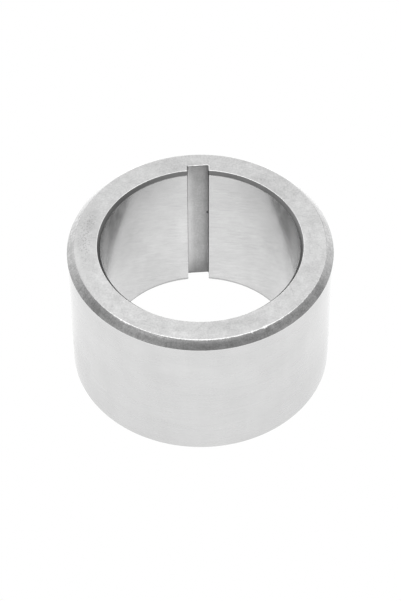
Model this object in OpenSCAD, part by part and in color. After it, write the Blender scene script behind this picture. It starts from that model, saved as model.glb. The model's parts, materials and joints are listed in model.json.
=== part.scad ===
// Spacer bushing: a short thick-walled ring turned from steel bar, with chamfered ends and
// one keyway cut along the whole length of its bore.
// The ring stands on its lower end. The origin is the centre of that end, +Z runs along the
// bore and the keyway faces +Y.

/* [Ring] */
// Outside diameter
outer_d = 48; // [45:0.5:80]
// Bore diameter
bore_d = 36; // [20:0.5:40]
// Length from end face to end face
length = 30; // [10:0.5:80]

/* [Chamfers] */
// Leg of the 45 degree chamfer round the outside of both ends
outer_chamfer = 1.35; // [0.25:0.05:2.5]
// Radial leg of the chamfer at both mouths of the bore
bore_chamfer = 0.6; // [0.1:0.05:1.5]
// Length of that chamfer along the bore: it leads in a little steeper than 45 degrees
bore_chamfer_length = 0.8; // [0.1:0.05:2]

/* [Keyway] */
// Width between the two walls of the keyway
keyway_w = 4; // [2:0.1:10]
// Depth from the bore to the floor, at the middle of the keyway
keyway_depth = 1.8; // [1:0.1:3.5]
// Radius left by the broach in the two corners of the floor
keyway_corner_r = 0.4; // [0.1:0.05:0.8]

/* [Hidden] */
$fn = 180;
outer_r = outer_d / 2;
bore_r = bore_d / 2;
// Distance from the axis of the bore to the floor of the keyway
keyway_floor = bore_r + keyway_depth;
// Length by which the broach passes each end face
broach_past = 1;

// Half section of the ring: X is the distance from the axis, Y the height
module ring_section() {
    polygon([
        [bore_r + bore_chamfer, 0],
        [outer_r - outer_chamfer, 0],
        [outer_r, outer_chamfer],
        [outer_r, length - outer_chamfer],
        [outer_r - outer_chamfer, length],
        [bore_r + bore_chamfer, length],
        [bore_r, length - bore_chamfer_length],
        [bore_r, bore_chamfer_length]
    ]);
}

// Outline of the keyway seen along the bore: parallel walls, flat floor, two round corners
module keyway_section() {
    corner_x = keyway_w / 2 - keyway_corner_r;
    corner_y = keyway_floor - keyway_corner_r;
    translate([-keyway_w / 2, 0]) square([keyway_w, corner_y]);
    translate([-corner_x, 0]) square([2 * corner_x, keyway_floor]);
    for (side = [-1, 1])
        translate([side * corner_x, corner_y]) circle(r = keyway_corner_r);
}

// The broach's path through the ring, from the axis out to the floor
module keyway() {
    translate([0, 0, -broach_past])
        linear_extrude(length + 2 * broach_past) keyway_section();
}

module spacer_bushing() {
    color("silver") difference() {
        rotate_extrude() ring_section();
        keyway();
    }
}

spacer_bushing();
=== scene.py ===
import json
import math
import bmesh
import bpy
from mathutils import Matrix, Vector, noise


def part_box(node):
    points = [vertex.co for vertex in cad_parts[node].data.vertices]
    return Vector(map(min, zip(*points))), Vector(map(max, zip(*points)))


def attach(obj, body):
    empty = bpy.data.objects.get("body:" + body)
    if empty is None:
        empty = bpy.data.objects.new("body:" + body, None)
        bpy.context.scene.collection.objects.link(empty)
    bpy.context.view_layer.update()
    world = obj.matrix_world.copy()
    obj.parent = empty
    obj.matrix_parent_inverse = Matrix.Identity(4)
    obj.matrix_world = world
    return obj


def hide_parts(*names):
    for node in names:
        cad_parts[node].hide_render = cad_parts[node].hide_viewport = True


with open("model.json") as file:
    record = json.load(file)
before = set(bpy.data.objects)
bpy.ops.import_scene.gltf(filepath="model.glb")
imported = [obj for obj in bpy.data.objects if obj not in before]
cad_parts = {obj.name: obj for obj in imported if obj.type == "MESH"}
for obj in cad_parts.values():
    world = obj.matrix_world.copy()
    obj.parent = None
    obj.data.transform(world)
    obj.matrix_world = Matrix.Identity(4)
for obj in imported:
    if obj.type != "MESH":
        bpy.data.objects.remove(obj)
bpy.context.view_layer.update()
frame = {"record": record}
mm = 0.001
ringNode = "spacer_bushing"
mounts = {mount["name"]: mount for mount in frame["record"]["mounts"]}

# Sizes of the turned ring, read from the frame
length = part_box(ringNode)[1].z
outerR = mounts["outside"]["dims"]["r_mm"] * mm
boreR = mounts["bore"]["dims"]["r_mm"] * mm
outerChamfer = (length - mounts["outside"]["dims"]["length_mm"] * mm) / 2
leadLength = (length - mounts["bore"]["dims"]["length_mm"] * mm) / 2    # bore chamfer along the bore
leadWidth = 0.6 * mm              # and across the end face
keyFloor = mounts["keyway"]["pos_m"][1]
keyHalf = 2 * mm                  # half the width of the keyway


# A socket takes a plain value, or a link from another socket
def feed(tree, target, value):
    if isinstance(value, bpy.types.NodeSocket):
        tree.links.new(value, target)
    else:
        target.default_value = value


def addNode(tree, kind, inputs=None, **settings):
    made = tree.nodes.new(kind)
    for name, value in settings.items():
        setattr(made, name, value)
    for socket, value in (inputs or {}).items():
        feed(tree, made.inputs[socket], value)
    return made


def startGroup(name, inputs, outputs):
    tree = bpy.data.node_groups.new(name, "ShaderNodeTree")
    for way, sockets in (("INPUT", inputs), ("OUTPUT", outputs)):
        for socket, kind in sockets.items():
            tree.interface.new_socket(name=socket, in_out=way, socket_type="NodeSocket" + kind)
    return tree, addNode(tree, "NodeGroupInput").outputs, addNode(tree, "NodeGroupOutput").inputs


def calc(tree, operation, *values):
    return addNode(tree, "ShaderNodeMath", dict(enumerate(values)), operation=operation).outputs[0]


def ranged(tree, value, fromLow, fromHigh, toLow, toHigh, shape="LINEAR"):
    inputs = dict(enumerate((value, fromLow, fromHigh, toLow, toHigh)))
    return addNode(tree, "ShaderNodeMapRange", inputs, interpolation_type=shape).outputs[0]


noiseSpan = (0.3, 0.7)    # a noise texture mostly stays within this


def stretchedNoise(tree, vector, scales, detail):
    stretch = addNode(tree, "ShaderNodeCombineXYZ", dict(enumerate(scales))).outputs[0]
    scaled = addNode(tree, "ShaderNodeVectorMath", {0: vector, 1: stretch}, operation="MULTIPLY").outputs[0]
    inputs = {"Vector": scaled, "Scale": 1.0, "Detail": detail, "Roughness": 0.6}
    return addNode(tree, "ShaderNodeTexNoise", inputs).outputs[0]


coarseShare = 0.4         # of coarse marks among the fine ones


# Parallel marks that a tool leaves: they vary along Z and run across it
def makeToolMarks():
    inputs = {"Vector": "Vector", "Run": "Float", "Fine": "Float", "Coarse": "Float"}
    tree, given, result = startGroup("toolMarks", inputs, {"Marks": "Float"})
    run = given["Run"]
    fine = stretchedNoise(tree, given["Vector"], (run, run, given["Fine"]), 3.0)
    coarse = stretchedNoise(tree, given["Vector"], (run, run, given["Coarse"]), 2.0)
    blend = addNode(tree, "ShaderNodeMix", {0: coarseShare, 2: fine, 3: coarse})
    tree.links.new(blend.outputs[0], result["Marks"])
    return tree


# Places on the ring: across an end face, and unrolled round the ring
def makeRingPlace():
    places = {"Facing": "Vector", "Around": "Vector"}
    tree, given, result = startGroup("ringPlace", {"Vector": "Vector"}, places)
    x, y, z = addNode(tree, "ShaderNodeSeparateXYZ", {0: given["Vector"]}).outputs
    radius = calc(tree, "SQRT", calc(tree, "ADD", calc(tree, "MULTIPLY", x, x), calc(tree, "MULTIPLY", y, y)))
    front = calc(tree, "MULTIPLY", y, -1.0)
    arc = calc(tree, "MULTIPLY", calc(tree, "ARCTAN2", x, front), outerR)
    facing = addNode(tree, "ShaderNodeCombineXYZ", {0: x, 1: y, 2: radius})
    around = addNode(tree, "ShaderNodeCombineXYZ", {0: radius, 1: z, 2: arc})
    tree.links.new(facing.outputs[0], result["Facing"])
    tree.links.new(around.outputs[0], result["Around"])
    return tree


# Uneven tone from handling: wide blotches and a fine grain
def makeHandling():
    layers = {"Blotch": "Float", "Grain": "Float"}
    tree, given, result = startGroup("handling", {"Vector": "Vector", **layers}, layers)
    for layer in layers:
        inputs = {"Vector": given["Vector"], "Scale": given[layer], "Detail": 2.0, "Roughness": 0.6}
        tree.links.new(addNode(tree, "ShaderNodeTexNoise", inputs).outputs[0], result[layer])
    return tree


scratchForm = {
    "turns": (20, 75, 130),    # directions in degrees
    "along": 150, "across": 5000,
    "rare": 0.68, "ramp": 0.05,
}


# Sparse hair scratches in a few directions
def makeHairScratches():
    inputs = {"Vector": "Vector", "Along": "Float", "Across": "Float", "Rare": "Float"}
    tree, given, result = startGroup("hairScratches", inputs, {"Scratch": "Float"})
    deepest = 0.0
    for turn in scratchForm["turns"]:
        turned = addNode(tree, "ShaderNodeMapping",
                         {"Vector": given["Vector"], "Rotation": (0, 0, math.radians(turn))}).outputs[0]
        line = stretchedNoise(tree, turned, (given["Along"], given["Across"], given["Across"]), 1.0)
        past = calc(tree, "SUBTRACT", line, given["Rare"])
        deepest = calc(tree, "MAXIMUM", deepest, ranged(tree, past, 0.0, scratchForm["ramp"], 0.0, 1.0))
    tree.links.new(deepest, result["Scratch"])
    return tree


toolMarks = makeToolMarks()
ringPlace = makeRingPlace()
handling = makeHandling()
hairScratches = makeHairScratches()
print("shared effects made")


def startMaterial(name):
    material = bpy.data.materials.new(name)
    material.use_nodes = True
    return material, material.node_tree, material.node_tree.nodes["Principled BSDF"]


# Soft-edged round patch: 1 at its middle, 0 from its edge outwards. Places and reaches are in mm
def patchMask(tree, place, spot):
    inputs = {"Vector": place, "Location": [c * mm for c in spot["at"]],
              "Rotation": (0, 0, math.radians(spot.get("turn", 0))), "Scale": [c * mm for c in spot["reach"]]}
    local = addNode(tree, "ShaderNodeMapping", inputs, vector_type="TEXTURE").outputs[0]
    away = addNode(tree, "ShaderNodeVectorMath", {0: local}, operation="LENGTH").outputs["Value"]
    return ranged(tree, away, spot.get("core", 0.0), 1.0, 1.0, 0.0, "SMOOTHSTEP")


pitGrain = (0.50, 0.62)    # a pitted patch shows where the grain rises through this


# A shade times patches of darker or lighter tone
def addPatches(tree, place, shade, spots, grain=None, mottling=None):
    for spot in spots:
        mask = patchMask(tree, place, spot)
        tone = spot["tone"]
        if "pitted" in spot:
            mask = calc(tree, "MULTIPLY", mask, ranged(tree, grain, *pitGrain, 0.0, 1.0))
        if "mottle" in spot:
            tone = ranged(tree, mottling, *noiseSpan, tone - spot["mottle"], tone + spot["mottle"])
        shade = calc(tree, "MULTIPLY", shade, ranged(tree, mask, 0.0, 1.0, 1.0, tone))
    return shade


faceShade = {
    "back": (2 * mm, 18 * mm), "backTone": 0.95,
    # the pitted patches, smudge, spot and scratch are marks on the steel; the other patches are painted light
    # and painted shade
    "patches": {
        "specks": {"at": (-20.7, 1.1, 30), "reach": (2.6, 11, 1), "tone": 0.60, "pitted": True},
        "specksBack": {"at": (-19.4, 6.4, 30), "reach": (1.9, 4.2, 1), "tone": 0.70, "pitted": True},
        "smudge": {"at": (11.5, 16.3, 30), "reach": (2.2, 2.0, 1), "tone": 0.91},
        "spot": {"at": (11.6, 15.9, 30), "reach": (0.35, 0.30, 1), "tone": 0.84},
        "scratch": {"at": (5.8, 20.2, 30), "reach": (0.95, 0.09, 1), "turn": -61, "tone": 0.90},
        "frontShade": {"at": (8.2, -18.6, 30), "reach": (5.0, 2.2, 1), "tone": 0.89},
        "front": {"at": (3.0, -19.7, 30), "reach": (5.5, 2.6, 1), "tone": 0.92},
        "backRight": {"at": (14.6, 14.0, 30), "reach": (7, 7, 1), "tone": 0.91},
        "backLeft": {"at": (-5.2, 19.8, 30), "reach": (4.5, 2.6, 1), "tone": 0.89},
        "left": {"at": (-19.6, 6.0, 30), "reach": (3, 6, 1), "tone": 0.91},
        "right": {"at": (19.4, -6.6, 30), "reach": (2.6, 2.6, 1), "tone": 0.91},
        "rightBack": {"at": (20.6, 5.4, 30), "reach": (2.4, 3.2, 1), "tone": 0.92},
        "rightSpot": {"at": (17.1, 10.2, 30), "reach": (0.8, 0.7, 1), "tone": 0.90},
        "lighter": {"at": (-13.2, -14.7, 30), "reach": (3.5, 3.0, 1), "tone": 1.08},
        "leftFront": {"at": (-17.5, -8.8, 30), "reach": (2.0, 2.6, 1), "tone": 1.09},
        "leftRim": {"at": (-21.9, -3.5, 30), "reach": (0.9, 5.5, 1), "turn": 9, "tone": 1.08},
        "rightRim": {"at": (21.0, -7.6, 30), "reach": (0.8, 4.0, 1), "turn": -20, "tone": 1.07},
        "frontRim": {"at": (-4.2, -21.6, 30), "reach": (3.8, 1.4, 1), "tone": 1.11},
    },
}


# End faces: painted shade a little darker towards the back, a pitted stretch at the left, a few stains, and
# patches of painted light and painted shade
def shadeFace(tree, place, grain):
    form = faceShade
    y = addNode(tree, "ShaderNodeSeparateXYZ", {0: place}).outputs["Y"]
    shade = ranged(tree, y, *form["back"], 1.0, form["backTone"], "SMOOTHSTEP")
    return addPatches(tree, place, shade, form["patches"].values(), grain)


chamferShade = {
    "wallSide": 0.72, "faceSide": 1.14,                # painted shade, dull towards the wall at the front
    "front": (-23 * mm, -19.5 * mm),
    "faceTone": 1.22, "edgeTone": 1.22,                # and painted light along both edges
    "lined": (-20 * mm, -11 * mm),
    # patches of painted light and painted shade
    "patches": [{"at": (-18.6, -14.0, 29.2), "reach": (2.2, 2.2, 1.4), "tone": 0.86},
                {"at": (-10.0, -20.8, 29.2), "reach": (10, 8, 3), "tone": 1.25},
                {"at": (-8.0, -22.4, 28.7), "reach": (6, 3, 0.9), "tone": 1.16},
                {"at": (1.2, -23.2, 28.9), "reach": (3.5, 2.0, 1.2), "tone": 0.85},
                {"at": (11.2, -20.2, 29.6), "reach": (1.3, 1.0, 0.8), "tone": 0.72},
                {"at": (6.7, -22.2, 29.4), "reach": (1.8, 0.9, 0.8), "tone": 0.86},
                {"at": (9.0, -21.4, 29.4), "reach": (4.0, 1.8, 1.0), "tone": 0.85},
                {"at": (15.6, -17.0, 29.5), "reach": (1.5, 1.2, 0.7), "tone": 0.85},
                {"at": (21.0, -10.2, 29.3), "reach": (2.5, 3.5, 1.5), "tone": 0.78},
                {"at": (22.8, -3.0, 29.7), "reach": (1.2, 6.0, 0.7), "tone": 0.88},
                {"at": (-23.0, -1.0, 29.6), "reach": (1.2, 6.0, 0.8), "tone": 0.91}],
    # painted light and shade from left to right
    "leftTone": 1.0, "rightTone": 1.02, "across": 20 * mm,
    "sideTone": 1.27, "sides": (-6 * mm, 3 * mm),      # painted light from the sides back
    "backTone": 1.13, "back": (1 * mm, 7 * mm),
    "chatter": 0.10, "run": 200, "pitch": 2800,        # chatter lines, mostly at the left
    "chattered": (-18 * mm, -8 * mm), "elsewhere": 0.5,
}


# Outer chamfers: painted light and painted shade from front to back and side to side, with chatter lines
# across them
def shadeChamfer(tree, place, grain):
    form = chamferShade
    x, y, z = addNode(tree, "ShaderNodeSeparateXYZ", {0: place}).outputs
    rise = calc(tree, "ABSOLUTE", calc(tree, "SUBTRACT", z, length / 2))
    low, high = length / 2 - outerChamfer, length / 2
    across = ranged(tree, rise, low, high, form["wallSide"], form["faceSide"])
    front = ranged(tree, y, *form["front"], 1.0, 0.0, "SMOOTHSTEP")
    across = calc(tree, "MULTIPLY_ADD", calc(tree, "SUBTRACT", across, 1.0), front, 1.0)
    sides = ranged(tree, y, *form["sides"], 1.0, form["sideTone"], "SMOOTHSTEP")
    back = ranged(tree, y, *form["back"], 1.0, form["backTone"], "SMOOTHSTEP")
    sides = calc(tree, "MULTIPLY", sides, back)
    face = ranged(tree, rise, high - outerChamfer / 2, high, 1.0, form["faceTone"])
    edge = ranged(tree, rise, low, low + outerChamfer / 3, form["edgeTone"], 1.0)
    lines = calc(tree, "SUBTRACT", calc(tree, "MULTIPLY", face, edge), 1.0)
    lined = ranged(tree, y, *form["lined"], 1.0, 0.0, "SMOOTHSTEP")
    across = calc(tree, "MULTIPLY", across, calc(tree, "MULTIPLY_ADD", lines, lined, 1.0))
    leftRight = ranged(tree, x, -form["across"], form["across"], form["leftTone"], form["rightTone"])
    across = calc(tree, "MULTIPLY", across, calc(tree, "MULTIPLY", sides, leftRight))
    around = addNode(tree, "ShaderNodeGroup", {"Vector": place}, node_tree=ringPlace).outputs["Around"]
    chatter = stretchedNoise(tree, around, (form["run"], form["run"], form["pitch"]), 1.0)
    chatter = ranged(tree, chatter, *noiseSpan, -form["chatter"], form["chatter"])
    chattered = ranged(tree, x, *form["chattered"], 1.0, form["elsewhere"], "SMOOTHSTEP")
    shade = addPatches(tree, place, across, form["patches"])
    return calc(tree, "MULTIPLY", shade, calc(tree, "MULTIPLY_ADD", chatter, chattered, 1.0))


edgeHighlightShade = {
    # painted highlight at the front, painted shade at the sides and back
    "front": (-19 * mm, -7 * mm), "frontTone": 1.04, "sideTone": 0.62,
    "back": (4 * mm, 14 * mm), "backTone": 0.80,
    # patches of painted highlight and painted shade
    "patches": [{"at": (20.9, -8.5, 29.5), "reach": (6, 9, 5), "tone": 1.45},
                {"at": (-21.9, -4.0, 29.9), "reach": (4, 11, 3), "tone": 1.14},
                {"at": (21.9, 5.6, 29.9), "reach": (3, 6, 2), "tone": 0.78}],
}


# Rubbed outer edges: a painted highlight at the front, painted shade at the sides
def shadeEdgeHighlight(tree, place, grain):
    form = edgeHighlightShade
    y = addNode(tree, "ShaderNodeSeparateXYZ", {0: place}).outputs["Y"]
    front = ranged(tree, y, *form["front"], form["frontTone"], form["sideTone"], "SMOOTHSTEP")
    back = ranged(tree, y, *form["back"], 1.0, form["backTone"] / form["sideTone"], "SMOOTHSTEP")
    return addPatches(tree, place, calc(tree, "MULTIPLY", front, back), form["patches"])


leadShade = {
    # painted shade at the sides, most at the left
    "left": (-15 * mm, -3 * mm), "leftTone": 0.63, "backTone": 1.03,
    "right": (8 * mm, 15 * mm), "rightTone": 0.88,
}


# Chamfer at the mouth of the bore: painted shade, darker at the sides
def shadeLead(tree, place, grain):
    form = leadShade
    x = addNode(tree, "ShaderNodeSeparateXYZ", {0: place}).outputs["X"]
    left = ranged(tree, x, *form["left"], form["leftTone"], form["backTone"], "SMOOTHSTEP")
    return calc(tree, "MULTIPLY", left, ranged(tree, x, *form["right"], 1.0, form["rightTone"], "SMOOTHSTEP"))


boreShade = {
    # a thin painted shadow band at the lower end of the bore
    "footShadowBand": 0.50 * mm, "footShadowTone": 0.55,
    "foot": (1.5 * mm, 9 * mm), "footTone": 1.13,     # painted light, brighter towards both ends
    "mouth": (22 * mm, 29.2 * mm), "mouthTone": 1.17,
    "middle": 2.5 * mm, "reach": (4 * mm, 12 * mm), "aside": 0.2,
    # mottled patches of painted light and painted shade
    "patches": [{"at": (-15.6, 9.5, 29), "reach": (4, 7, 6), "tone": 0.86, "mottle": 0.35},
                {"at": (15.6, 9.5, 29), "reach": (4, 7, 6), "tone": 0.80, "mottle": 0.22},
                {"at": (-17.4, 4.6, 21.5), "reach": (3, 6, 8), "tone": 1.42, "mottle": 0.12},
                {"at": (17.4, 4.6, 21.5), "reach": (3, 6, 8), "tone": 1.40, "mottle": 0.12},
                {"at": (-13.6, 11.4, 17), "reach": (6, 7, 9), "tone": 0.92, "mottle": 0.02},
                {"at": (14.4, 10.6, 16), "reach": (6, 7, 9), "tone": 0.90, "mottle": 0.02},
                {"at": (-16.8, 6.4, 18.6), "reach": (2.0, 2.6, 5), "tone": 0.88, "mottle": 0.02},
                {"at": (16.4, 7.4, 19.4), "reach": (2.2, 3.2, 7), "tone": 0.80, "mottle": 0.02},
                {"at": (15.4, 9.3, 24.2), "reach": (1.8, 2.6, 3.5), "tone": 0.84, "mottle": 0.02},
                {"at": (17.0, 5.8, 13.2), "reach": (3.0, 4.0, 5), "tone": 0.88, "mottle": 0.02},
                {"at": (-3.0, 17.7, 14.0), "reach": (2.0, 3.0, 10), "tone": 1.07, "mottle": 0.01},
                {"at": (-10.9, 14.3, 13.0), "reach": (3.0, 4.0, 9), "tone": 0.95, "mottle": 0.01},
                {"at": (9.6, 15.2, 14.0), "reach": (3.0, 4.0, 7), "tone": 0.95, "mottle": 0.01},
                {"at": (-14.0, 11.3, 26.5), "reach": (1.6, 2.0, 4.0), "tone": 0.93, "mottle": 0.01},
                {"at": (-15.1, 9.8, 22.5), "reach": (1.4, 2.0, 4.0), "tone": 0.94, "mottle": 0.01},
                {"at": (-16.3, 7.6, 19.0), "reach": (1.0, 1.8, 3.5), "tone": 0.95, "mottle": 0.01},
                {"at": (13.9, 11.4, 26.8), "reach": (1.5, 1.9, 3.5), "tone": 0.91, "mottle": 0.01},
                {"at": (14.9, 10.1, 22.5), "reach": (1.4, 2.0, 4.5), "tone": 0.95, "mottle": 0.01},
                {"at": (16.85, 6.3, 18.2), "reach": (1.2, 2.0, 3.0), "tone": 0.93, "mottle": 0.01},
                {"at": (-17.0, 5.9, 27.0), "reach": (1.5, 2.4, 5.0), "tone": 1.08, "mottle": 0.01},
                {"at": (-17.3, 4.9, 20.0), "reach": (1.2, 1.8, 4.0), "tone": 1.06, "mottle": 0.01}],
    "mottling": (900, 900, 420),
}


# Bore: a thin painted shadow band at the lower end, painted light towards both ends of the side
# with the keyway, and mottled patches of painted light and painted shade up the sides
def shadeBore(tree, place, grain):
    form = boreShade
    parts = addNode(tree, "ShaderNodeSeparateXYZ", {0: place}).outputs
    x, z = parts["X"], parts["Z"]
    band = ranged(tree, z, leadLength, leadLength + form["footShadowBand"], form["footShadowTone"], 1.0, "SMOOTHSTEP")
    foot = ranged(tree, z, *form["foot"], form["footTone"] - 1, 0.0, "SMOOTHSTEP")
    mouth = ranged(tree, z, *form["mouth"], 0.0, form["mouthTone"] - 1)
    away = calc(tree, "ABSOLUTE", calc(tree, "SUBTRACT", x, form["middle"]))
    middle = ranged(tree, away, *form["reach"], 1.0, form["aside"], "SMOOTHSTEP")
    ends = calc(tree, "MULTIPLY_ADD", calc(tree, "ADD", foot, mouth), middle, 1.0)
    shade = calc(tree, "MULTIPLY", band, ends)
    mottling = stretchedNoise(tree, place, form["mottling"], 3.0)
    return addPatches(tree, place, shade, form["patches"], mottling=mottling)


wallShade = {
    # painted reflection bands round the wall, and painted light low on it
    "reflectionBands": 0.012, "rise": 30, "pace": 350,
    "lower": (0, 16 * mm), "lowerTone": 1.03,
    "patches": [{"at": (-8.0, -22.6, 20.2), "reach": (6, 4, 3.5), "tone": 0.945}],
}


# Wall: faint painted reflection bands from end to end, painted light towards the lower end, and a darker
# patch at the front left
def shadeWall(tree, place, grain):
    form = wallShade
    around = addNode(tree, "ShaderNodeGroup", {"Vector": place}, node_tree=ringPlace).outputs["Around"]
    reflectionBands = stretchedNoise(tree, around, (0, form["rise"], form["pace"]), 2.0)
    z = addNode(tree, "ShaderNodeSeparateXYZ", {0: place}).outputs["Z"]
    lower = ranged(tree, z, *form["lower"], form["lowerTone"], 1.0)
    banded = ranged(tree, reflectionBands, *noiseSpan, 1 - form["reflectionBands"], 1 + form["reflectionBands"])
    return calc(tree, "MULTIPLY", addPatches(tree, place, lower, form["patches"]), banded)


keyShade = {
    "leftTone": 1.22, "rightTone": 0.82,    # painted shadow, duller towards the right
    "rub": 1.5 * mm, "litLeftTone": 1.33,       # painted light along the left wall
    # painted shade in the right corner
    "corner": 0.24 * mm, "cornerShadeTone": 0.32,
    "foot": (0.5 * mm, 0.9 * mm), "footTone": 0.85,    # thin dull line over the filed edge
    "patches": [{"at": (1.8, 19.8, 17.4), "reach": (0.34, 0.5, 0.38), "core": 0.4, "tone": 0.15},    # pit
                {"at": (-1.95, 19.75, 29.5), "reach": (0.45, 0.6, 1.0), "tone": 0.42},
                {"at": (-1.3, 19.8, 29.0), "reach": (1.0, 0.6, 1.8), "tone": 0.84},
                {"at": (1.1, 19.8, 27.6), "reach": (0.7, 0.6, 1.8), "tone": 1.14},
                {"at": (-1.7, 19.7, 0.6), "reach": (1.1, 0.6, 0.7), "tone": 0.66}],
    "endReach": 6.0 * mm, "lowerTone": 0.53, "upperTone": 0.87,
    "rimReach": 0.5 * mm, "rimTone": 0.6,   # thin dull line under the upper rim
}


# Keyway: painted light at the left, painted shadow towards the right and in the right corner, and dark
# towards the lower end
def shadeKeyway(tree, place, grain):
    form = keyShade
    parts = addNode(tree, "ShaderNodeSeparateXYZ", {0: place}).outputs
    x, z = parts["X"], parts["Z"]
    across = ranged(tree, x, -keyHalf, keyHalf, form["leftTone"], form["rightTone"])
    left = ranged(tree, x, -keyHalf, form["rub"] - keyHalf, form["litLeftTone"], 1.0, "SMOOTHSTEP")
    right = ranged(tree, x, keyHalf - form["corner"], keyHalf, 1.0, form["cornerShadeTone"])
    across = calc(tree, "MULTIPLY", across, calc(tree, "MULTIPLY", left, right))
    lower = ranged(tree, z, 0.0, form["endReach"], form["lowerTone"], 1.0, "SMOOTHSTEP")
    upper = ranged(tree, z, length - form["endReach"], length, 1.0, form["upperTone"], "SMOOTHSTEP")
    rim = ranged(tree, z, length - form["rimReach"], length, 1.0, form["rimTone"], "SMOOTHSTEP")
    foot = ranged(tree, z, *form["foot"], form["footTone"], 1.0, "SMOOTHSTEP")
    ends = calc(tree, "MULTIPLY", calc(tree, "MULTIPLY", lower, upper), calc(tree, "MULTIPLY", rim, foot))
    return addPatches(tree, place, calc(tree, "MULTIPLY", across, ends), form["patches"])


# Tone is the reflectance of the steel; streak, blotch and grain are shares of it
steelLook = {
    "turnedWall": {"tone": 0.309, "streak": 0.03, "blotch": 0.025, "grain": 0.01, "rough": (0.26, 0.30),
                   "marks": (150, 4200, 1500), "handling": (160, 3000), "bump": 0.01, "edgeTone": 0.76,
                   "scratched": 0.008, "shade": shadeWall},
    "groundFace": {"tone": 0.325, "streak": 0.04, "blotch": 0.08, "grain": 0.11, "rough": (0.28, 0.38),
                   "marks": (60, 3500, 1200), "handling": (750, 2900), "bump": 0.02, "way": "facing",
                   "scratched": 0.12, "shade": shadeFace},
    "turnedChamfer": {"tone": 0.282, "streak": 0.14, "blotch": 0.11, "grain": 0.20, "rough": (0.25, 0.38),
                      "marks": (350, 5000, 2200), "handling": (1300, 4200), "bump": 0.05,
                      "shade": shadeChamfer},
    "boreChamfer": {"tone": 0.21, "streak": 0.10, "blotch": 0.06, "grain": 0.04, "rough": (0.34, 0.44),
                    "marks": (80, 6000, 2200), "handling": (500, 4000), "bump": 0.04, "shade": shadeLead},
    "honedBore": {"tone": 0.366, "streak": 0.10, "blotch": 0.04, "grain": 0.03, "rough": (0.195, 0.235),
                  "marks": (350, 4800, 2400), "handling": (220, 3000), "bump": 0.01, "way": "leaning",
                  "brushed": 0.975, "edgeTone": 1.0, "shade": shadeBore},
    "broachedKeyway": {"tone": 0.25, "streak": 0.12, "blotch": 0.06, "grain": 0.12, "rough": (0.32, 0.46),
                       "marks": (60, 3000, 1000), "handling": (400, 3500), "bump": 0.04, "way": "through",
                       "shade": shadeKeyway},
    "rubbedEdge": {"tone": 0.42, "streak": 0.04, "blotch": 0.05, "grain": 0.08, "rough": (0.22, 0.34),
                   "marks": (900, 900, 400), "handling": (800, 4000), "bump": 0.03, "shade": shadeEdgeHighlight},
    "wornEdge": {"tone": 0.50, "streak": 0.04, "blotch": 0.05, "grain": 0.08, "rough": (0.22, 0.34),
                 "marks": (900, 900, 400), "handling": (800, 4000), "bump": 0.03},
}
finishes = list(steelLook)


bumpDepth = 0.1 * mm
markTurns = {
    "leaning": (38, 0, 0),      # lines round the bore, tipped by the hone
    "through": (90, -45, 0),    # lines along the bore
}


# The direction that the tool marks run in, as coordinates for the marks
def marksPlace(tree, place, way):
    if way == "facing":      # rings round the end face
        return addNode(tree, "ShaderNodeGroup", {"Vector": place}, node_tree=ringPlace).outputs["Facing"]
    if way in markTurns:
        turn = [math.radians(angle) for angle in markTurns[way]]
        return addNode(tree, "ShaderNodeMapping", {"Vector": place, "Rotation": turn}).outputs[0]
    return place             # lines round the ring


def makeSteel(name, look):
    material, tree, shader = startMaterial(name)
    shader.inputs["Metallic"].default_value = 1.0
    place = addNode(tree, "ShaderNodeTexCoord").outputs["Object"]
    run, fine, coarse = look["marks"]
    inputs = {"Vector": marksPlace(tree, place, look.get("way")), "Run": run, "Fine": fine, "Coarse": coarse}
    marks = addNode(tree, "ShaderNodeGroup", inputs, node_tree=toolMarks).outputs["Marks"]
    blotchScale, grainScale = look["handling"]
    inputs = {"Vector": place, "Blotch": blotchScale, "Grain": grainScale}
    handled = addNode(tree, "ShaderNodeGroup", inputs, node_tree=handling).outputs
    tone = look["tone"]
    for value, share in ((marks, "streak"), (handled["Blotch"], "blotch"), (handled["Grain"], "grain")):
        varied = ranged(tree, value, *noiseSpan, 1 - look[share], 1 + look[share])
        tone = calc(tree, "MULTIPLY", tone, varied)
    if "scratched" in look:
        inputs = {"Vector": place, "Along": scratchForm["along"], "Across": scratchForm["across"],
                  "Rare": scratchForm["rare"]}
        scratch = addNode(tree, "ShaderNodeGroup", inputs, node_tree=hairScratches).outputs["Scratch"]
        tone = calc(tree, "MULTIPLY", tone, ranged(tree, scratch, 0.0, 1.0, 1.0, 1 - look["scratched"]))
    # each finish's shade brings painted light and painted shade, with some real marks, into the tone
    if "shade" in look:
        tone = calc(tree, "MULTIPLY", tone, look["shade"](tree, place, handled["Grain"]))
    tree.links.new(tone, shader.inputs["Base Color"])
    tree.links.new(ranged(tree, marks, *noiseSpan, *look["rough"]), shader.inputs["Roughness"])
    bump = addNode(tree, "ShaderNodeBump", {"Strength": look["bump"], "Distance": bumpDepth, "Height": marks})
    tree.links.new(bump.outputs[0], shader.inputs["Normal"])
    shader.inputs["Specular Tint"].default_value = (look.get("edgeTone", 1.0),) * 3 + (1,)
    shader.inputs["Anisotropic"].default_value = look.get("brushed", 0.0)
    shader.inputs["Anisotropic Rotation"].default_value = 0.25    # gloss spreads along the bore
    return material


materials = [makeSteel(name, look) for name, look in steelLook.items()]
print("steel finishes made:", len(materials))

ringForm = {
    "facets": 720,              # round the ring
    "breakSteps": 3,            # steps across each broken edge
    "outerBreak": 0.11 * mm,    # edges of the end faces, rubbed in use
    "wallBreak": 0.08 * mm,     # edges between chamfers and wall
    "mouthBreak": 0.08 * mm,    # edge of the upper end face at the bore
    "leadBreak": 0.04 * mm,     # edge of the bore under it
    "leadLean": 0.11 * mm,      # the upper bore chamfer is shorter by this beside the keyway
    "footBreak": 0.03 * mm,     # both edges at the lower mouth
    "sharpAngle": 32,           # edges past this angle stay crisp
}


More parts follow.
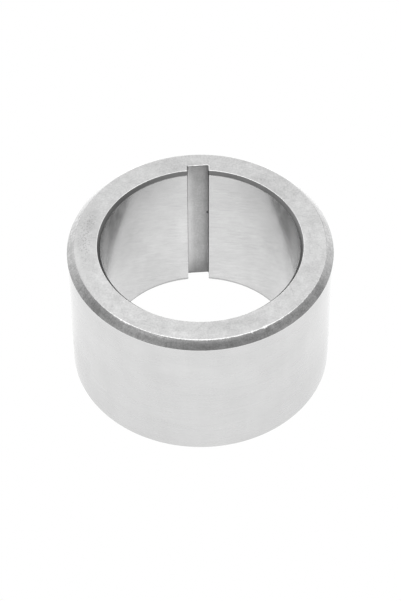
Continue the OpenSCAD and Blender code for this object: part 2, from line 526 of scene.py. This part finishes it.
finishSlopes = {"face": 0.98, "wall": 0.02, "chamfer": (0.55, 0.73)}    # upright part of the normal


def finishOf(face):
    slope = abs(face.normal.z)
    low, high = finishSlopes["chamfer"]
    outside = face.calc_center_median().xy.length > (outerR + boreR) / 2
    if slope > finishSlopes["face"]:
        return "groundFace"
    if slope < finishSlopes["wall"]:
        return "turnedWall" if outside else "honedBore"
    if low < slope < high:
        return "turnedChamfer" if outside else "boreChamfer"
    return "rubbedEdge" if outside else "wornEdge"


# Half section of the ring, with every edge broken, spun round the axis
def turnRing(form):
    outerEdge, wallEdge = form["outerBreak"], form["wallBreak"]
    mouthEdge, leadEdge, footEdge = form["mouthBreak"], form["leadBreak"], form["footBreak"]
    section = [(outerR - outerChamfer, 0, outerEdge), (outerR, outerChamfer, wallEdge),
               (outerR, length - outerChamfer, wallEdge), (outerR - outerChamfer, length, outerEdge),
               (boreR + leadWidth, length, mouthEdge), (boreR, length - leadLength, leadEdge),
               (boreR, leadLength, footEdge), (boreR + leadWidth, 0, footEdge)]
    bm = bmesh.new()
    corners = [bm.verts.new((radius, 0, height)) for radius, height, offset in section]
    for near, far in zip(corners, corners[1:] + corners[:1]):
        bm.edges.new((near, far))
    for corner, (radius, height, offset) in zip(corners, section):
        bmesh.ops.bevel(bm, geom=[corner], offset=offset, offset_type="OFFSET", affect="VERTICES",
                        segments=form["breakSteps"], profile=0.5, material=-1)
    bmesh.ops.spin(bm, geom=bm.verts[:] + bm.edges[:], cent=(0, 0, 0), axis=(0, 0, 1),
                   angle=math.tau, steps=form["facets"], use_merge=True)
    bmesh.ops.recalc_face_normals(bm, faces=bm.faces)
    for face in bm.faces:
        face.material_index = finishes.index(finishOf(face))
    return bm


# Lifts the lower edge of the upper bore chamfer, most beside the keyway and not at all at the front
def leanLead(bm, form):
    near = 2 * form["leadBreak"]
    for vert in bm.verts:
        if abs(vert.co.z - (length - leadLength)) < near and vert.co.xy.length < boreR + near:
            vert.co.z += form["leadLean"] * (1 + vert.co.y / boreR) / 2


# Wear widens a broken edge unevenly. Angles are in degrees from +X, with the front at -90.
# A nick has its angle, its width in mm and the times that it widens the edge
edgeWear = [
    {"radius": outerR - outerChamfer, "height": length, "within": 0.3 * mm,
     "waver": 1.0, "paces": (230, 60), "least": 0.15,
     "rub": {"at": -87, "span": 20, "more": 1.1},
     "nicks": [(-128.5, 0.16, 2.4), (-126.0, 0.14, 2.0), (-127.0, 0.12, 0.6), (-124.5, 0.14, 0.7),
               (-68.0, 0.15, 3.6), (-62.0, 0.16, 3.2), (-61.0, 0.12, 1.2),
               (-160.5, 0.20, 1.0), (-88.5, 0.15, 0.7), (-101.0, 0.30, 0.6),
               (31.0, 0.25, 0.7), (118.0, 0.30, 0.8), (152.0, 0.20, 0.6)]},
    {"radius": boreR + leadWidth, "height": length, "within": 0.16 * mm,
     "waver": 0.4, "paces": (80,), "least": 0.15,
     "nicks": [(83.0, 0.6, 0.5), (79.0, 1.0, 0.3), (74.0, 1.2, 0.3), (97.0, 0.4, 0.7)]},
]


# Angle from one direction to another, the short way round
def turnBetween(angle, degrees):
    return (angle - math.radians(degrees) + math.pi) % math.tau - math.pi


def wearEdge(bm, wear):
    corner = Vector((wear["radius"], wear["height"]))
    rub = wear.get("rub")
    for vert in bm.verts:
        reach = Vector((vert.co.xy.length, vert.co.z)) - corner
        if reach.length > wear["within"]:
            continue
        around = vert.co.xy.normalized()
        angle = math.atan2(around.y, around.x)
        spot = Vector((around.x, around.y, 0))
        widen = 1 + wear["waver"] * sum(noise.noise(spot * pace) for pace in wear["paces"])
        if rub:
            away = turnBetween(angle, rub["at"])
            widen += rub["more"] * math.exp(-(away / math.radians(rub["span"])) ** 2)
        for nickAngle, width, times in wear["nicks"]:
            arc = wear["radius"] * turnBetween(angle, nickAngle)
            widen += times * math.exp(-(arc / (width * mm)) ** 2)
        radius, height = corner + reach * max(widen, wear["least"])
        vert.co = (around.x * radius, around.y * radius, height)


keyForm = {
    "leftCornerR": 0.15 * mm,
    "rightCornerR": 0.26 * mm,
    "cornerSteps": 6,
    "floorTilt": 0.06,          # the floor lies a little deeper at the right
    "mouthBreak": 0.02 * mm,    # along the bore
    "mouthLean": 0.3,           # the faces of that break lean both ways by more than this
    "endBreak": 0.09 * mm,      # width of the flat burr round the upper end
    "endSlope": 0.41,           # its drop for each unit of width
    "footBreak": 0.48 * mm,     # filed edge at the lower end
    "endWaver": 1.0,            # unevenness of both edges
    "endPace": 1900,
    "floorSteps": 16,
    "past": 2 * mm,             # how far the cutter passes each end face
}


# One outline of the keyway, grown by a margin and laid at a height
def keyOutline(bm, form, height, grow):
    others = set(bm.edges)
    half, floor = keyHalf + grow, keyFloor + grow
    edgeY = math.sqrt(boreR ** 2 - keyHalf ** 2)
    out = form["mouthBreak"]
    right = [(half + out, 0), (half + out, edgeY - out), (half, edgeY + out), (half, floor)]
    points = right + [(-x, y) for x, y in reversed(right)]
    corners = [bm.verts.new((x, y, height)) for x, y in points]
    for pair in zip(corners, corners[1:] + corners[:1]):
        bm.edges.new(pair)
    for corner, radius in ((corners[3], form["rightCornerR"]), (corners[4], form["leftCornerR"])):
        corner.co.y += form["floorTilt"] * corner.co.x
        bmesh.ops.bevel(bm, geom=[corner], offset=radius + grow, offset_type="OFFSET",
                        affect="VERTICES", segments=form["cornerSteps"], profile=0.5, material=-1)
    added = [edge for edge in bm.edges if edge not in others]
    deep = [edge for edge in added if min(vert.co.y for vert in edge.verts) > edgeY + 2 * out]
    floorSide = max(deep, key=lambda edge: edge.calc_length())
    bmesh.ops.subdivide_edges(bm, edges=[floorSide], cuts=form["floorSteps"])
    return [edge for edge in bm.edges if edge not in others]


# The broach's path: straight through the ring, opening a little at both end faces
def keyCutter(form):
    step, slope = form["endBreak"], form["endSlope"]
    foot, past = form["footBreak"], form["past"]
    levels = [(-past, foot + past), (foot, 0),
              (length - step * slope, 0), (length + past, step + past / slope)]
    bm = bmesh.new()
    loops = [keyOutline(bm, form, height, grow) for height, grow in levels]
    for vert in bm.verts:
        if 0 < vert.co.z < length:
            side = 1 if vert.co.z < length / 2 else -1
            vert.co.z += side * form["endWaver"] * step * slope * noise.noise(vert.co * form["endPace"])
    for lower, upper in zip(loops, loops[1:]):
        bmesh.ops.bridge_loops(bm, edges=lower + upper)
    for loop in (loops[0], loops[-1]):
        bmesh.ops.edgenet_fill(bm, edges=loop)
    bmesh.ops.recalc_face_normals(bm, faces=bm.faces)
    for face in bm.faces:
        centre = face.calc_center_median()
        straight = abs(face.normal.z) < finishSlopes["wall"]
        mouth = min(abs(face.normal.x), face.normal.y) > form["mouthLean"] and centre.y < boreR
        dull = centre.x < -keyHalf    # no bright burr on the left wall
        broached = not mouth if straight else dull
        face.material_index = finishes.index("broachedKeyway" if broached else "wornEdge")
    return bm


def objectFrom(bm, name):
    mesh = bpy.data.meshes.new(name)
    bm.to_mesh(mesh)
    bm.free()
    for material in materials:
        mesh.materials.append(material)
    made = bpy.data.objects.new(name, mesh)
    bpy.context.scene.collection.objects.link(made)
    return made


def applyModifiers(piece):
    bpy.context.view_layer.update()
    shaped = piece.evaluated_get(bpy.context.evaluated_depsgraph_get())
    mesh = bpy.data.meshes.new_from_object(shaped)
    piece.modifiers.clear()
    piece.data = mesh


def cutAway(piece, cutter):
    cut = piece.modifiers.new("cut", "BOOLEAN")
    cut.object = cutter
    cut.operation = "DIFFERENCE"
    cut.solver = "EXACT"
    cut.material_mode = "INDEX"
    applyModifiers(piece)
    bpy.data.objects.remove(cutter)


def makeRing():
    blank = turnRing(ringForm)
    leanLead(blank, ringForm)
    for wear in edgeWear:
        wearEdge(blank, wear)
    ring = objectFrom(blank, "bushing_ring")
    cutAway(ring, objectFrom(keyCutter(keyForm), "keyCutter"))
    ring.data.shade_smooth()
    ring.data.set_sharp_from_angle(angle=math.radians(ringForm["sharpAngle"]))
    weighted = ring.modifiers.new("faceNormals", "WEIGHTED_NORMAL")
    weighted.weight = 50
    weighted.keep_sharp = True
    applyModifiers(ring)
    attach(ring, "root")
    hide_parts(ringNode)
    print("ring made:", len(ring.data.polygons), "faces")


makeRing()

floorForm = {
    "half": 3.0, "below": 0.01 * mm, "white": 0.4, "rough": 0.9, "seen": 1.0,    # plain white to the camera
    "glow": 1.72, "farGlow": 0.8, "fade": (50 * mm, 110 * mm),                   # as the steel reflects it
    "contactShade": 0.85, "contact": (8 * mm, 15 * mm, 21 * mm, 23 * mm),        # painted contact shadow in the glow under the bore
    "patches": [{"at": (-25.5, 2, 0), "reach": (8, 15, 5), "tone": 0.80},        # painted shade and light in the glow beside the ring
                {"at": (25.5, 2, 0), "reach": (8, 15, 5), "tone": 0.80},
                {"at": (-31, 17, 0), "reach": (12, 15, 5), "tone": 0.92},
                {"at": (31, 17, 0), "reach": (12, 15, 5), "tone": 0.95},
                {"at": (-38, -8, 0), "reach": (14, 15, 5), "tone": 1.07},
                {"at": (38, -8, 0), "reach": (14, 15, 5), "tone": 1.07}],
}


def makeFloor(form):
    bm = bmesh.new()
    bmesh.ops.create_grid(bm, x_segments=1, y_segments=1, size=form["half"])
    bmesh.ops.translate(bm, verts=bm.verts[:], vec=(0, 0, -form["below"]))
    mesh = bpy.data.meshes.new("floor")
    bm.to_mesh(mesh)
    bm.free()
    floor = bpy.data.objects.new("floor", mesh)
    bpy.context.scene.collection.objects.link(floor)
    material, tree, shader = startMaterial("paleFloor")
    shader.inputs["Roughness"].default_value = form["rough"]
    shader.inputs["Specular IOR Level"].default_value = 0.0
    place = addNode(tree, "ShaderNodeTexCoord").outputs["Object"]
    away = addNode(tree, "ShaderNodeVectorMath", {0: place}, operation="LENGTH").outputs["Value"]
    glow = ranged(tree, away, *form["fade"], form["glow"], form["farGlow"], "SMOOTHSTEP")
    start, full, last, end = form["contact"]
    near = ranged(tree, away, start, full, 1.0, form["contactShade"], "SMOOTHSTEP")
    past = ranged(tree, away, last, end, 0.0, 1.0, "SMOOTHSTEP")
    glow = calc(tree, "MULTIPLY", glow, calc(tree, "MAXIMUM", near, past))
    glow = addPatches(tree, place, glow, form["patches"])
    seen = addNode(tree, "ShaderNodeLightPath").outputs["Is Camera Ray"]
    tree.links.new(ranged(tree, seen, 0.0, 1.0, form["white"], 0.0), shader.inputs["Base Color"])
    tree.links.new(ranged(tree, seen, 0.0, 1.0, glow, form["seen"]), shader.inputs["Emission Color"])
    shader.inputs["Emission Strength"].default_value = 1.0
    mesh.materials.append(material)


makeFloor(floorForm)

studio = {
    "backdrop": 2.13,        # brightness of the white sweep behind the ring
    "front": 0.77,           # brightness of the room in front
    "frontEnds": 0.10,       # how far back, as a cosine, the room in front reaches
    "backdropStarts": 0.66,
    "stripLight": {"width": 1.2, "depth": 0.42, "height": 0.6, "power": 3.2},
}


def makeStudio(form):
    world = bpy.data.worlds.new("whiteSweep")
    bpy.context.scene.world = world
    world.use_nodes = True
    tree = world.node_tree
    place = addNode(tree, "ShaderNodeTexCoord").outputs["Generated"]
    back = addNode(tree, "ShaderNodeSeparateXYZ", {0: place}).outputs["Y"]
    fade = ranged(tree, back, form["frontEnds"], form["backdropStarts"], form["front"], form["backdrop"],
                  "SMOOTHSTEP")
    sky = tree.nodes["Background"]
    sky.inputs["Color"].default_value = (1, 1, 1, 1)
    tree.links.new(fade, sky.inputs["Strength"])
    strip = form["stripLight"]
    lamp = bpy.data.lights.new("stripSoftbox", "AREA")
    lamp.shape = "RECTANGLE"
    lamp.size = strip["width"]
    lamp.size_y = strip["depth"]
    lamp.energy = strip["power"]
    holder = bpy.data.objects.new("stripSoftbox", lamp)
    holder.location = (0, 0, strip["height"])
    bpy.context.scene.collection.objects.link(holder)
    bpy.context.scene.view_settings.view_transform = "Standard"


makeStudio(studio)

photoView = {
    "azimuth": -1.117,
    "elevation": 48.528,
    "distance": 375.17 * mm,
    "lens": 121.6, "sensor": 36.0, "near": 10 * mm,
    "aimDrop": 0.47 * mm,    # aimed this far below the ring's middle
    "roll": -0.251,
}


def makeCamera(form):
    turn, lift = math.radians(form["azimuth"]), math.radians(form["elevation"])
    middle = Vector((0, 0, length / 2))
    back = Vector((math.sin(turn) * math.cos(lift), -math.cos(turn) * math.cos(lift), math.sin(lift)))
    data = bpy.data.cameras.new("photoCamera")
    data.lens = form["lens"]
    data.sensor_width = form["sensor"]
    data.clip_start = form["near"]
    camera = bpy.data.objects.new("photoCamera", data)
    camera.location = middle + back * form["distance"]
    aim = middle - Vector((0, 0, form["aimDrop"]))
    facing = (aim - camera.location).to_track_quat("-Z", "Y").to_matrix()
    camera.rotation_euler = (facing @ Matrix.Rotation(math.radians(form["roll"]), 3, "Z")).to_euler()
    bpy.context.scene.collection.objects.link(camera)
    bpy.context.scene.camera = camera


makeCamera(photoView)
print("stage and camera made")
